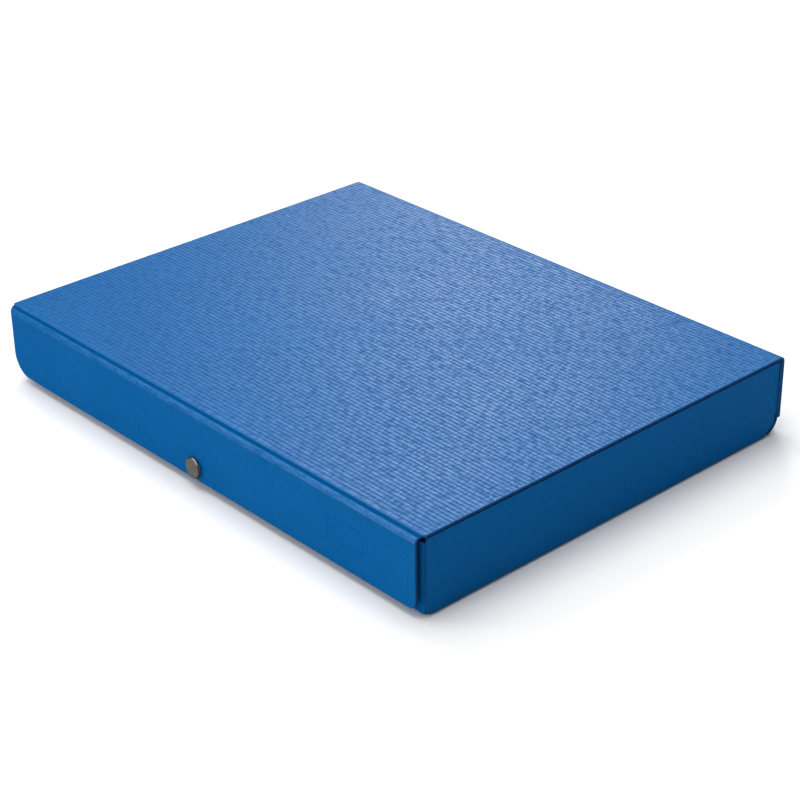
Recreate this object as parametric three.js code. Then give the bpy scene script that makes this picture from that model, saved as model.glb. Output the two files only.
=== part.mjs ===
// A flat archival box for A4 sheets, folded from one sheet of embossed board and closed by a press stud.
// Millimetres. The origin is the centre of the base's underside, +X runs along the long side,
// +Y points to the spine (the flap and its stud face -Y) and +Z points up.
import * as THREE from "three";

// Driving dimensions
const length = 320; // along X, over the side walls
const width = 250; // along Y, from the flap's face to the spine's face
const height = 43; // along Z, over the closed lid
const board = 1.25; // thickness of the board
const play = 0.25; // room left between two neighbouring pieces
const flapGap = 3; // room between the closed flap and the front wall, where the stud sits
const spineGap = 1.25; // room between the spine and the tabs behind it

const frontWallTop = 38.5;
const sideWallTop = 41.25;
const tabTop = 37;
const tabLength = 35;
const tabCorner = 5;
const sideWallCorner = 1; // upper corners of the side walls, and the left wall's lower back corner
const rightWallFoot = 6; // lower back corner of the right wall
const frontWallFoot = 5; // lower left corner of the front wall
const foldSetBack = 3; // side folds stop this far before the spine's fold

// Outer radii of the folds
const tightFold = 2.5; // front and right edges of the base, and the upright corners
const slackFold = 11; // left edge of the base
const spineFold = 8; // base to spine
const lidFold = 3; // spine to lid
const flapFold = 3.5; // lid to flap

// The flap is a little shorter than the lid and stands clear of the table
const flapLeft = 2.5; // set back from the lid's left end
const flapRight = 2.5; // set back from the lid's right end
const flapBottom = 4.5; // above the table
const flapLeftCorner = 12;
const flapRightCorner = 4.5;
const lidCorner = 1.5; // front corners of the lid
const spineLeftCorner = 8;
const spineRightCorner = 1;

// Press stud
const studHeight = 11.5; // of its axis above the table
const holeRadius = 2.25;
const postRadius = 1.9;
const capRadius = 5.5;
const capThickness = 2;
const socketRadius = 4.75;
const nubRadius = 3.2;
const wireRadius = 0.28;

const arcSteps = 5; // segments in each 45 degrees of a fold
const turnSteps = 28; // segments round a turned piece
const ringSteps = 24; // segments along the ring spring
const wireSteps = 4; // segments in each half turn of its wire

// Planes worked out from the dimensions above
const endFace = length / 2; // outer faces of the two side walls, at +X and -X
const flapFace = -width / 2;
const flapBack = flapFace + board;
const frontFace = flapBack + flapGap; // outer face of the front wall
const frontBack = frontFace + board;
const spineFace = width / 2;
const backTabFace = spineFace - board - spineGap;
const frontTabFace = endFace - board - play; // outer faces of the front tabs, at +X and -X
const lidUnder = height - board;

const alongX = new THREE.Vector3(1, 0, 0);
const alongY = new THREE.Vector3(0, 1, 0);
const alongZ = new THREE.Vector3(0, 0, 1);
const towards = (axis, sign) => axis.clone().multiplyScalar(sign);

function boardFinish() {
  return new THREE.MeshStandardMaterial({ color: 0x0b5a9b, roughness: 0.5, metalness: 0 });
}

function metalFinish() {
  return new THREE.MeshStandardMaterial({ color: 0x6a655c, roughness: 0.35, metalness: 1 });
}

// Extrudes a shape by depth. The shape's x runs along `across` and its y along `up`,
// and the middle of the extruded depth is put at `middle`.
function extruded(name, shape, depth, across, up, middle) {
  const geometry = new THREE.ExtrudeGeometry(shape, {
    depth,
    bevelEnabled: false,
    curveSegments: arcSteps,
  });
  geometry.translate(0, 0, -depth / 2);
  const mesh = new THREE.Mesh(geometry, boardFinish());
  const along = new THREE.Vector3().crossVectors(across, up);
  mesh.setRotationFromMatrix(new THREE.Matrix4().makeBasis(across, up, along));
  mesh.position.copy(middle);
  mesh.name = name;
  return mesh;
}

// A rectangle between two corners. The four radii round its corners, anticlockwise from the lower left.
function panelOutline(x0, y0, x1, y1, radii = [0, 0, 0, 0]) {
  const [lowerLeft, lowerRight, upperRight, upperLeft] = radii;
  const corners = [
    [x1 - lowerRight, y0 + lowerRight, lowerRight, -Math.PI / 2],
    [x1 - upperRight, y1 - upperRight, upperRight, 0],
    [x0 + upperLeft, y1 - upperLeft, upperLeft, Math.PI / 2],
    [x0 + lowerLeft, y0 + lowerLeft, lowerLeft, Math.PI],
  ];
  const shape = new THREE.Shape();
  shape.moveTo((x0 + x1) / 2, y0);
  for (const [x, y, radius, start] of corners) {
    shape.lineTo(x + radius * Math.cos(start), y + radius * Math.sin(start));
    if (radius > 0) {
      shape.absarc(x, y, radius, start, start + Math.PI / 2, false);
    }
  }
  shape.closePath();
  return shape;
}

function withStudHole(shape, x, y) {
  const hole = new THREE.Path();
  hole.absarc(x, y, holeRadius, 0, 2 * Math.PI, true);
  shape.holes.push(hole);
  return shape;
}

// A quarter of a board tube: the fold between a panel below it and a panel beyond it.
function fold(name, radius, depth, across, up, middle) {
  const shape = new THREE.Shape();
  shape.absarc(0, 0, radius, -Math.PI / 2, 0, false);
  shape.absarc(0, 0, radius - board, 0, -Math.PI / 2, true);
  shape.closePath();
  return extruded(name, shape, depth, across, up, middle);
}

// A metal piece turned about the stud's axis. The profile is a list of [radius, y] pairs.
function turned(name, profile) {
  const points = profile.map(([radius, y]) => new THREE.Vector2(radius, y));
  const mesh = new THREE.Mesh(new THREE.LatheGeometry(points, turnSteps), metalFinish());
  mesh.position.set(0, 0, studHeight);
  mesh.name = name;
  return mesh;
}

// The tray: base, four folded-up edges and the tabs that hold its corners.
function tray() {
  const baseLeft = -endFace + slackFold;
  const baseRight = endFace - tightFold;
  const baseFront = frontFace + tightFold;
  const baseBack = spineFace - spineFold;
  const wallFront = frontFace + play;
  const wallBack = backTabFace - tightFold;
  const uprightX = frontTabFace - tightFold; // axes of the front corners' folds
  const rightFloor = tightFold + play; // lower edge of the walls beside a tight fold
  const leftFloor = slackFold + play; // lower edge of the walls beside the slack fold
  const pieces = [];

  const base = panelOutline(baseLeft + play, baseFront + play, baseRight - play, baseBack - play);
  pieces.push(
    extruded("base_panel", base, board, alongX, alongY, new THREE.Vector3(0, 0, board / 2)),
  );

  // Front edge
  const frontFoldLeft = baseLeft + play;
  const frontFoldRight = uprightX - play;
  pieces.push(
    fold(
      "front_base_crease",
      tightFold,
      frontFoldRight - frontFoldLeft,
      towards(alongY, -1),
      alongZ,
      new THREE.Vector3((frontFoldLeft + frontFoldRight) / 2, baseFront, tightFold),
    ),
  );
  const frontCorners = [frontWallFoot, 0, 0, 0];
  const frontLeft = -uprightX + play;
  const front = panelOutline(frontLeft, rightFloor, uprightX - play, frontWallTop, frontCorners);
  pieces.push(
    extruded(
      "front_wall",
      withStudHole(front, 0, studHeight),
      board,
      alongX,
      alongZ,
      new THREE.Vector3(0, frontFace + board / 2, 0),
    ),
  );

  // Left edge, with its wide slack fold, and right edge, with its tight one
  const foldFront = frontBack + play;
  const foldBack = baseBack - foldSetBack;
  const foldMiddle = (foldFront + foldBack) / 2;
  pieces.push(
    fold(
      "left_base_crease",
      slackFold,
      foldBack - foldFront,
      towards(alongX, -1),
      alongZ,
      new THREE.Vector3(baseLeft, foldMiddle, slackFold),
    ),
    fold(
      "right_base_crease",
      tightFold,
      foldBack - wallFront,
      alongX,
      alongZ,
      new THREE.Vector3(baseRight, (wallFront + foldBack) / 2, tightFold),
    ),
  );
  const leftCorners = [0, sideWallCorner, 0, sideWallCorner];
  const rightCorners = [0, rightWallFoot, 0, sideWallCorner];
  const leftWall = panelOutline(wallFront, leftFloor, wallBack - play, sideWallTop, leftCorners);
  const rightWall = panelOutline(wallFront, rightFloor, wallBack - play, sideWallTop, rightCorners);
  pieces.push(
    extruded(
      "left_wall",
      leftWall,
      board,
      alongY,
      alongZ,
      new THREE.Vector3(-endFace + board / 2, 0, 0),
    ),
    extruded(
      "right_wall",
      rightWall,
      board,
      alongY,
      alongZ,
      new THREE.Vector3(endFace - board / 2, 0, 0),
    ),
  );

  // Upright corner folds and the tabs they end in, on the left (-1) and the right (1)
  for (const side of [-1, 1]) {
    const label = side < 0 ? "left" : "right";
    const floor = side < 0 ? leftFloor : rightFloor;
    const cornerMiddle = (floor + frontWallTop) / 2;
    pieces.push(
      fold(
        `front_${label}_corner_crease`,
        tightFold,
        frontWallTop - floor,
        towards(alongX, side),
        alongY,
        new THREE.Vector3(side * uprightX, baseFront, cornerMiddle),
      ),
    );
    const frontTab = panelOutline(
      baseFront + play,
      floor + play,
      baseFront + tabLength,
      tabTop,
      [0, tabCorner, tabCorner, 0],
    );
    pieces.push(
      extruded(
        `front_${label}_tab`,
        frontTab,
        board,
        alongY,
        alongZ,
        new THREE.Vector3(side * (frontTabFace - board / 2), 0, 0),
      ),
    );

    const backX = endFace - tightFold;
    pieces.push(
      fold(
        `back_${label}_corner_crease`,
        tightFold,
        sideWallTop - leftFloor,
        towards(alongX, side),
        towards(alongY, -1),
        new THREE.Vector3(side * backX, wallBack, (leftFloor + sideWallTop) / 2),
      ),
    );
    const tabEnds = [side * (backX - tabLength), side * (backX - play)].sort((a, b) => a - b);
    const rounded = side < 0 ? [0, tabCorner, tabCorner, 0] : [tabCorner, 0, 0, tabCorner];
    const backTab = panelOutline(tabEnds[0], leftFloor, tabEnds[1], tabTop, rounded);
    pieces.push(
      extruded(
        `back_${label}_tab`,
        backTab,
        board,
        alongX,
        alongZ,
        new THREE.Vector3(0, backTabFace - board / 2, 0),
      ),
    );
  }
  return pieces;
}

// The cover: spine, lid and flap, with the three creases they turn on.
function cover() {
  const spineBottom = spineFold + play;
  const spineTop = height - lidFold - play;
  const lidBack = spineFace - lidFold - play;
  const lidFront = flapFace + flapFold + play;
  const flapTop = height - flapFold - play;
  const flapStart = -endFace + flapLeft;
  const flapEnd = endFace - flapRight;
  const creaseLeft = -endFace + slackFold;
  const creaseRight = frontTabFace - play;
  const spineCorners = [spineLeftCorner, spineRightCorner, 0, 0];
  const spine = panelOutline(-endFace + play, spineBottom, endFace - play, spineTop, spineCorners);
  const lid = panelOutline(-endFace, lidFront, endFace, lidBack, [lidCorner, lidCorner, 0, 0]);
  const flap = panelOutline(
    flapStart,
    flapBottom,
    flapEnd,
    flapTop,
    [flapLeftCorner, flapRightCorner, 0, 0],
  );
  return [
    fold(
      "base_spine_crease",
      spineFold,
      creaseRight - creaseLeft,
      alongY,
      alongZ,
      new THREE.Vector3((creaseLeft + creaseRight) / 2, spineFace - spineFold, spineFold),
    ),
    extruded(
      "spine_panel",
      spine,
      board,
      alongX,
      alongZ,
      new THREE.Vector3(0, spineFace - board / 2, 0),
    ),
    fold(
      "spine_lid_crease",
      lidFold,
      length - 2 * play,
      alongY,
      towards(alongZ, -1),
      new THREE.Vector3(0, spineFace - lidFold, height - lidFold),
    ),
    extruded("lid_panel", lid, board, alongX, alongY, new THREE.Vector3(0, 0, lidUnder + board / 2)),
    fold(
      "lid_flap_crease",
      flapFold,
      flapEnd - flapStart,
      towards(alongY, -1),
      towards(alongZ, -1),
      new THREE.Vector3((flapStart + flapEnd) / 2, flapFace + flapFold, height - flapFold),
    ),
    extruded(
      "flap_panel",
      withStudHole(flap, 0, studHeight),
      board,
      alongX,
      alongZ,
      new THREE.Vector3(0, flapFace + board / 2, 0),
    ),
  ];
}

// The press stud: cap, socket and ring spring on the flap, nub and eyelet on the front wall.
function pressStud() {
  const touch = 0.05; // the metal lies on the board with this little between them
  const sheet = 0.3; // thickness of the pressed metal
  const bevel = 0.2; // rounding of the pressed edges
  const rimWidth = 1.7; // raised rim of the cap
  const rimSlope = 0.4; // between the cap's flat face and its rim
  const dish = 0.15; // the cap's flat face lies this far inside its rim
  const capBack = flapFace - touch;
  const capFront = flapFace - capThickness;
  const socketBack = flapBack + touch;
  const plateFront = socketBack + sheet;
  const headRadius = postRadius + 0.9; // the cap's post, spread behind the socket
  const headBack = plateFront + touch;
  const headFront = headBack + bevel;
  const lipBack = flapBack + 1.7;
  const lipFront = lipBack + sheet;
  const lipRadius = nubRadius + sheet;
  const cap = turned("stud_cap", [
    [0, capFront + dish],
    [capRadius - rimWidth, capFront + dish],
    [capRadius - rimWidth + rimSlope, capFront],
    [capRadius - bevel * 3, capFront],
    [capRadius - bevel, capFront + bevel],
    [capRadius, capFront + bevel * 3],
    [capRadius, capBack - bevel * 3],
    [capRadius - bevel, capBack],
    [postRadius, capBack],
    [postRadius, headBack],
    [headRadius, headBack],
    [headRadius, headFront],
    [0, headFront],
  ]);
  const socket = turned("stud_socket", [
    [postRadius + bevel, socketBack],
    [socketRadius - bevel, socketBack],
    [socketRadius, socketBack + bevel],
    [socketRadius, lipFront - bevel],
    [socketRadius - bevel, lipFront],
    [lipRadius, lipFront],
    [lipRadius, lipBack],
    [socketRadius - sheet, lipBack],
    [socketRadius - sheet, plateFront],
    [postRadius + bevel, plateFront],
    [postRadius + bevel, socketBack],
  ]);

  const flangeRadius = socketRadius - bevel;
  const flangeBack = frontFace - touch;
  const flangeFront = flangeBack - sheet;
  const nubHeight = 2; // from the front wall's face
  const nubFront = frontFace - nubHeight;
  const waistRadius = nubRadius - sheet; // the ring spring closes round it
  const waistFront = nubFront + nubHeight / 2;
  const nubBore = postRadius + bevel * 2;
  const nub = turned("stud_nub", [
    [0, nubFront],
    [nubRadius - bevel * 3, nubFront],
    [nubRadius - bevel, nubFront + bevel],
    [nubRadius, nubFront + bevel * 3],
    [waistRadius, waistFront],
    [waistRadius, flangeFront],
    [flangeRadius, flangeFront],
    [flangeRadius, flangeBack],
    [nubBore, flangeBack],
    [nubBore, nubFront + sheet],
    [0, nubFront + sheet],
  ]);
  const eyeletBore = postRadius - bevel * 3;
  const eyeletFront = frontFace - 1.1; // inside the nub
  const plateBack = frontBack + touch;
  const eyelet = turned("stud_eyelet", [
    [eyeletBore, plateBack + bevel * 2],
    [eyeletBore, eyeletFront],
    [postRadius, eyeletFront],
    [postRadius, plateBack],
    [flangeRadius, plateBack],
    [flangeRadius, plateBack + bevel],
    [flangeRadius - bevel, plateBack + bevel * 2],
    [eyeletBore, plateBack + bevel * 2],
  ]);

  // A split ring of round wire, held behind the socket's lip
  const ringRadius = nubRadius + play + wireRadius;
  const ringTurn = 1.8 * Math.PI;
  const ringPoints = [];
  for (let step = 0; step <= ringSteps; step += 1) {
    const angle = (step / ringSteps) * ringTurn;
    ringPoints.push(new THREE.Vector3(ringRadius * Math.cos(angle), 0, ringRadius * Math.sin(angle)));
  }
  const wire = new THREE.Shape();
  wire.absarc(0, 0, wireRadius, 0, 2 * Math.PI, false);
  const springGeometry = new THREE.ExtrudeGeometry(wire, {
    steps: ringSteps,
    curveSegments: wireSteps,
    extrudePath: new THREE.CatmullRomCurve3(ringPoints),
  });
  const spring = new THREE.Mesh(springGeometry, metalFinish());
  spring.position.set(0, lipBack - play - wireRadius, studHeight);
  spring.name = "stud_spring";
  return [cap, socket, spring, nub, eyelet];
}

const box = new THREE.Group();
box.add(...tray(), ...cover(), ...pressStud());

export default box;
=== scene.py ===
import math
import bpy
import numpy as np
from mathutils import Matrix, Vector


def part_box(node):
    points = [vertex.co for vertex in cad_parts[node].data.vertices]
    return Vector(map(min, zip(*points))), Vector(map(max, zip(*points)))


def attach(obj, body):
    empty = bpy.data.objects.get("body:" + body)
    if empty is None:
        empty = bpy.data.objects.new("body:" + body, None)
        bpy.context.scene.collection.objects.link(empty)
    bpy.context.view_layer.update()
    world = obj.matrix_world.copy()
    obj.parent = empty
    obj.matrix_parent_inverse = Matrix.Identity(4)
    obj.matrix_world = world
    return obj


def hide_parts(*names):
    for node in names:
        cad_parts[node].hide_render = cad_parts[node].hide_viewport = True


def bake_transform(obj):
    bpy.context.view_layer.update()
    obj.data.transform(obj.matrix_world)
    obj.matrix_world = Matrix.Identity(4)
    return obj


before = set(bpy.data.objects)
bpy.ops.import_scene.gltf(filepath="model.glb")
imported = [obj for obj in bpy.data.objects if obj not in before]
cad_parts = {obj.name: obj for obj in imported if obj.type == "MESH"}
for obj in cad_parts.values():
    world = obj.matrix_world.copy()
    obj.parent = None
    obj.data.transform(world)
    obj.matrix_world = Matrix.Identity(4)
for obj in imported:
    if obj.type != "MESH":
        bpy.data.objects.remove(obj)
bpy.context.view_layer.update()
mm = 0.001
scene = bpy.context.scene
rightAngle = math.pi / 2
fullTurn = 2 * math.pi
print("frame loaded with", len(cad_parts), "parts")


def addObject(name, data):
    made = bpy.data.objects.new(name, data)
    scene.collection.objects.link(made)
    return made


# The empty node tree of a world or a material
def clearTree(owner):
    owner.use_nodes = True
    owner.node_tree.nodes.clear()
    return owner.node_tree


camera = {
    "azimuth": 47.89,  # degrees round from the front
    "elevation": 28.28,
    "roll": -0.69,
    "distance": 1057.1 * mm,
    "target": (22.8 * mm, -11 * mm, 15 * mm),
    "lens": 93.2,
    "sensor": 36,
    "nearest": 10 * mm,  # nothing closer than this is drawn
}


def placeCamera(choices):
    angles = (choices["azimuth"], choices["elevation"], choices["roll"])
    azimuth, elevation, roll = (math.radians(angle) for angle in angles)
    level = math.cos(elevation)
    back = Vector((math.sin(azimuth) * level, -math.cos(azimuth) * level, math.sin(elevation)))
    side = Vector((math.cos(azimuth), math.sin(azimuth), 0))
    upright = back.cross(side)
    right = side * math.cos(roll) + upright * math.sin(roll)
    up = upright * math.cos(roll) - side * math.sin(roll)
    data = bpy.data.cameras.new("camera")
    data.lens = choices["lens"]
    data.sensor_width = choices["sensor"]
    data.clip_start = choices["nearest"]
    holder = addObject("camera", data)
    place = Vector(choices["target"]) + back * choices["distance"]
    holder.matrix_world = Matrix.Translation(place) @ Matrix((right, up, back)).transposed().to_4x4()
    scene.camera = holder


placeCamera(camera)


# One node of a tree. A value that is another node's socket is linked, and any other value is set.
def put(tree, kind, inputs=None, **settings):
    made = tree.nodes.new(kind)
    for key, value in settings.items():
        setattr(made, key, value)
    for key, value in (inputs or {}).items():
        if isinstance(value, bpy.types.NodeSocket):
            tree.links.new(value, made.inputs[key])
        else:
            made.inputs[key].default_value = value
    return made


def maths(tree, operation, first, second=0.0, third=0.0, clamp=False):
    inputs = {0: first, 1: second, 2: third}
    return put(tree, "ShaderNodeMath", inputs, operation=operation, use_clamp=clamp).outputs[0]


def vectorMaths(tree, operation, first, second=(0, 0, 0)):
    return put(tree, "ShaderNodeVectorMath", {0: first, 1: second}, operation=operation)


def scaled(tree, vector, share):
    inputs = {0: vector, "Scale": share}
    return put(tree, "ShaderNodeVectorMath", inputs, operation="SCALE").outputs[0]


def mapped(tree, value, fromLow, fromHigh, toLow=0.0, toHigh=1.0):
    inputs = {0: value, 1: fromLow, 2: fromHigh, 3: toLow, 4: toHigh}
    return put(tree, "ShaderNodeMapRange", inputs).outputs[0]


def blendColour(tree, share, first, second):
    inputs = {0: share, 6: first, 7: second}
    return put(tree, "ShaderNodeMix", inputs, data_type="RGBA").outputs[2]


# A value with a pattern added to it, by how far the pattern is from its middle
def varyBy(tree, pattern, amount, value, middle=0.5):
    return maths(tree, "MULTIPLY_ADD", maths(tree, "SUBTRACT", pattern, middle), amount, value)


studio = {
    "leftSky": 0.42,  # brightness of the room overhead, on the left
    "rightSky": 0.40,  # and on the right
    "horizon": 0.02,  # and at the horizon and below it, where only the gloss sees it
    "skySides": (-0.5, 0.7),  # where left ends and right begins, from -1 to 1 in X
    "skyRise": (0.2, 0.75),  # where the horizon ends and the sky is full, from -1 to 1 in Z
    "floorSize": 40.0,
    "floorShade": 0.95,
    "floorDrop": 0.1 * mm,  # the floor lies this far under the base
}
softboxes = {
    "top": {"at": (-0.6, -0.2, 3.0), "size": (2.6, 2.6), "watts": 72.0},
    "back": {"at": (-3.06, 3.11, 2.45), "size": (1.0, 1.9), "watts": 72.0},
    "left": {"at": (-2.75, 0.55, 2.6), "size": (0.8, 0.8), "watts": 14.0},
    "front": {"at": (0.1, -2.6, 1.15), "size": (1.6, 0.7), "watts": 24.0},
    "side": {"at": (-1.7, -1.45, 1.5), "size": (0.5, 0.5), "watts": 6.0},
}


def lightRoom(choices):
    world = bpy.data.worlds.new("room")
    tree = clearTree(world)
    direction = put(tree, "ShaderNodeTexCoord").outputs["Generated"]
    sideways, _, height = put(tree, "ShaderNodeSeparateXYZ", {0: direction}).outputs
    sky = mapped(tree, sideways, *choices["skySides"], choices["leftSky"], choices["rightSky"])
    brightness = mapped(tree, height, *choices["skyRise"], choices["horizon"], sky)
    air = put(tree, "ShaderNodeBackground", {"Color": (1, 1, 1, 1), "Strength": brightness})
    put(tree, "ShaderNodeOutputWorld", {0: air.outputs[0]})
    scene.world = world


def addSoftbox(name, choices):
    data = bpy.data.lights.new(name, "AREA")
    data.shape = "RECTANGLE"
    data.size, data.size_y = choices["size"]
    data.energy = choices["watts"]
    holder = addObject(name, data)
    holder.location = choices["at"]
    holder.rotation_euler = (-holder.location).to_track_quat("-Z", "Y").to_euler()


def layFloor(choices):
    half, drop = choices["floorSize"] / 2, choices["floorDrop"]
    mesh = bpy.data.meshes.new("floor")
    corners = [(x * half, y * half, -drop) for x, y in ((-1, -1), (1, -1), (1, 1), (-1, 1))]
    mesh.from_pydata(corners, [], [(0, 1, 2, 3)])
    floor = addObject("floor", mesh)
    material = bpy.data.materials.new("paper floor")
    tree = clearTree(material)
    shade = choices["floorShade"]
    paper = put(tree, "ShaderNodeBsdfDiffuse", {"Color": (shade, shade, shade, 1)})
    put(tree, "ShaderNodeOutputMaterial", {0: paper.outputs[0]})
    mesh.materials.append(material)
    floor.visible_glossy = False  # the board mirrors the room and not the paper it stands on


lightRoom(studio)
layFloor(studio)
for name, choices in softboxes.items():
    addSoftbox(name, choices)
scene.view_settings.view_transform = "Standard"
print("camera, floor and lights placed")


# The blank is one sheet of board, described flat and folded along two paths
board = {
    "edgeRounding": 0.22 * mm,
    "stepsPerRib": 7,
    "stepAlongRibs": 3.2 * mm,
    "stepsPerFold": 14,
    "stepsPerCorner": 9,
    "insideStep": 14,  # outer rows for each row of the plain inner face
    "insideTurn": 5,  # degrees between rows of the inner face in a fold
    "ribFade": 0.6 * mm,
    "plainEdge": 0.4,  # share of that fade which stays flat along a side edge
    "trimReach": 20 * mm,  # how far from a side edge the grid bends to follow it
    "trimShare": 0.45,  # and how much of a narrow sheet that may be
    "toFold": 0.25 * mm,  # base and walls run on past their boxes by this much, up to their folds
    "endStop": 0.8 * mm,  # from a side edge to the last stop before it
    "sharpAngle": 50,
}
ribs = {
    "Rib pitch": 2.62 * mm,
    "Rib depth": 0.12 * mm,
    "Groove sharpness": 5.5,
    "Break length": 4.5 * mm,
    "Break amount": 0.42,
    "Seed": 7,
}
plainLevel = 0.75  # what flat places count as, between a groove's 0 and a ridge's 1
zoneNames = ("Outside", "Cut edge", "Inside")  # a face's zone is its place in this row
lidLow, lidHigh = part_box("lid_panel")
wallLow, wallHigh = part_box("front_wall")
baseLow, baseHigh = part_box("base_panel")
spineLow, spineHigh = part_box("spine_panel")
flapLow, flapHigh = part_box("flap_panel")
leftLow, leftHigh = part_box("left_wall")
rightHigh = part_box("right_wall")[1]
capLow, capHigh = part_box("stud_cap")
studHeight = (capLow.z + capHigh.z) / 2
thickness = lidHigh.z - lidLow.z


def foldRadius(node):
    low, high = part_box(node)
    return high.z - low.z


def cornerRadius(node):
    low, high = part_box(node)
    return high.y - low.y


frontFold = foldRadius("front_base_crease")
slackFold = foldRadius("left_base_crease")
tightFold = foldRadius("right_base_crease")
spineFold = foldRadius("base_spine_crease")
lidFold = foldRadius("spine_lid_crease")
flapFold = foldRadius("lid_flap_crease")
uprightFold = cornerRadius("front_right_corner_crease")


# A path of the outer face in one plane, with the outside on its right. Each run is a straight
# length, or the outer radius of a fold that turns it a quarter to the left.
def layPath(start, heading, runs):
    path = []
    here = np.array(start, float)
    travelled = 0.0
    for length, radius in runs:
        along = np.array((math.cos(heading), math.sin(heading)))
        outward = np.array((along[1], -along[0]))
        if radius:
            length = (radius - thickness / 2) * rightAngle
        run = {"from": travelled, "to": travelled + length, "point": here}
        path.append({**run, "along": along, "outward": outward, "radius": radius})
        if radius:
            here = here + (along - outward) * radius
            heading += rightAngle
        else:
            here = here + along * length
        travelled += length
    return path


def straight(length):
    return length, 0


def quarter(radius):
    return 0, radius


# Points of a path at the given distances, at a depth under the outer face
def pathPoints(path, distance, depth):
    distance = np.asarray(distance, float)
    depth = np.broadcast_to(depth, distance.shape)
    points = np.zeros(distance.shape + (2,))
    for run in path:
        slack = 1e-9
        here = (distance >= run["from"] - slack) & (distance <= run["to"] + slack)
        gone = (distance[here] - run["from"])[:, None]
        under = depth[here][:, None]
        if run["radius"]:
            turn = gone / (run["to"] - run["from"]) * rightAngle
            facing = np.cos(turn) * run["outward"] + np.sin(turn) * run["along"]
            centre = run["point"] - run["outward"] * run["radius"]
            points[here] = centre + facing * (run["radius"] - under)
        else:
            points[here] = run["point"] + gone * run["along"] - run["outward"] * under
    return points


# Places a path's points in the frame. Sheets sweep across the path, along the named axis.
def sweep(path, axis):
    def place(across, along, depth):
        return np.insert(pathPoints(path, along, depth), "XYZ".index(axis), across, axis=-1)

    return place


# Front wall, base, spine, lid and flap, from the wall's top edge to the flap's lower edge, in Y and Z
column = layPath((wallLow.y, wallHigh.z), -rightAngle, [
    straight(wallHigh.z - frontFold),
    quarter(frontFold),
    straight(spineHigh.y - spineFold - wallLow.y - frontFold),
    quarter(spineFold),
    straight(lidHigh.z - spineFold - lidFold),
    quarter(lidFold),
    straight(spineHigh.y - lidFold - flapLow.y - flapFold),
    quarter(flapFold),
    straight(lidHigh.z - flapFold - flapLow.z),
])
wallRun, frontBend, baseRun, spineBend, spineRun, lidBend, lidRun, flapBend, flapRun = column

# Left wall, base and right wall, from top edge to top edge, in X and Z
girth = layPath((leftLow.x, leftHigh.z), -rightAngle, [
    straight(leftHigh.z - slackFold),
    quarter(slackFold),
    straight(rightHigh.x - leftLow.x - slackFold - tightFold),
    quarter(tightFold),
    straight(rightHigh.z - tightFold),
])
leftRun, slackBend, floorRun, tightBend, rightRun = girth
print("blank laid out:", round(flapRun["to"] / mm), "mm from wall to flap")

# Where the ribs are pressed flat beside each fold, and the lines scored into the outer face, each with its
# distance from the fold's end, its width before and after that, and its depth
creases = {
    "flatBeforeFlap": 0.5 * mm,
    "flatBeside": 1.0 * mm,
    "flapGroove": (1.2 * mm, 1.0 * mm, 1.0 * mm, 0.35 * mm),
    "flapScore": (0.8 * mm, 0.5 * mm, 0.5 * mm, 0.06 * mm),
    "score": (0.0, 0.5 * mm, 0.5 * mm, 0.08 * mm),
}


def dip(distance, line):
    centre, before, after, depth = line
    away = distance - centre
    return depth * np.exp(-((away / np.where(away < 0, before, after)) ** 2))


def ribShare(v):
    share = np.ones_like(v)
    for bend in (frontBend, spineBend, lidBend, flapBend):
        before = creases["flatBeforeFlap"] if bend is flapBend else creases["flatBeside"]
        ahead = (bend["from"] - before - v) / board["ribFade"]
        past = (v - bend["to"] - creases["flatBeside"]) / board["ribFade"]
        share = share * np.clip(np.maximum(ahead, past), 0, 1)
    return share


def scoredDepth(v):
    groove, flapScore, score = (creases[line] for line in ("flapGroove", "flapScore", "score"))
    depth = dip(v - flapBend["from"], groove) + dip(v - flapBend["to"], flapScore)
    for bend in (spineBend, lidBend):
        depth = depth + dip(v - bend["from"], score) + dip(v - bend["to"], score)
    return depth


# The flap carries a plain pressed panel, a rounded rectangle with nothing in it
blankMark = {
    "centre": (111 * mm, 22.5 * mm),  # X and Z
    "size": (25 * mm, 11.5 * mm),
    "corner": 3.2 * mm,
    "halfWidth": 0.45 * mm,
    "depth": 0.34 * mm,
    "step": 0.35 * mm,  # between stops of the sheet at the panel
    "margin": 2 * mm,
}


def markDepth(u, v, choices):
    z = lidHigh.z - flapFold - (v - flapBend["to"])
    halfX, halfZ = (side / 2 - choices["corner"] for side in choices["size"])
    overX = np.abs(u - choices["centre"][0]) - halfX
    overZ = np.abs(z - choices["centre"][1]) - halfZ
    outside = np.hypot(np.maximum(overX, 0), np.maximum(overZ, 0))
    away = outside + np.minimum(np.maximum(overX, overZ), 0) - choices["corner"]
    return dip(away, (0.0, choices["halfWidth"], choices["halfWidth"], choices["depth"]))


def evenStops(low, high, step):
    return np.linspace(low, high, max(2, int(math.ceil((high - low) / step)) + 1))


def mergedStops(stops):
    digits = 9
    return np.unique(np.round(np.concatenate(stops), digits))


# Stops across the ribs: several in each rib, and a fixed number in each fold of the path
def pathStops(runs, step):
    stops = [evenStops(run["from"], run["to"], step) for run in runs if not run["radius"]]
    foldStops = board["stepsPerFold"] + 1
    stops += [np.linspace(run["from"], run["to"], foldStops) for run in runs if run["radius"]]
    return mergedStops(stops)


ribStep = ribs["Rib pitch"] / board["stepsPerRib"]


def roundedBy(distance, radius):
    inward = np.clip(radius - distance, 0, radius)
    return radius - np.sqrt(radius * radius - inward * inward)


# Rows close to an end that has rounded corners, so that the corners come out round
def withCornerStops(stops, atStart, atEnd):
    inward = 1 - np.cos(np.linspace(0, rightAngle, board["stepsPerCorner"]))
    return mergedStops([stops, stops[0] + atStart * inward, stops[-1] - atEnd * inward])


def eased(share):
    return share * share * (3 - 2 * share)


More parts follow.
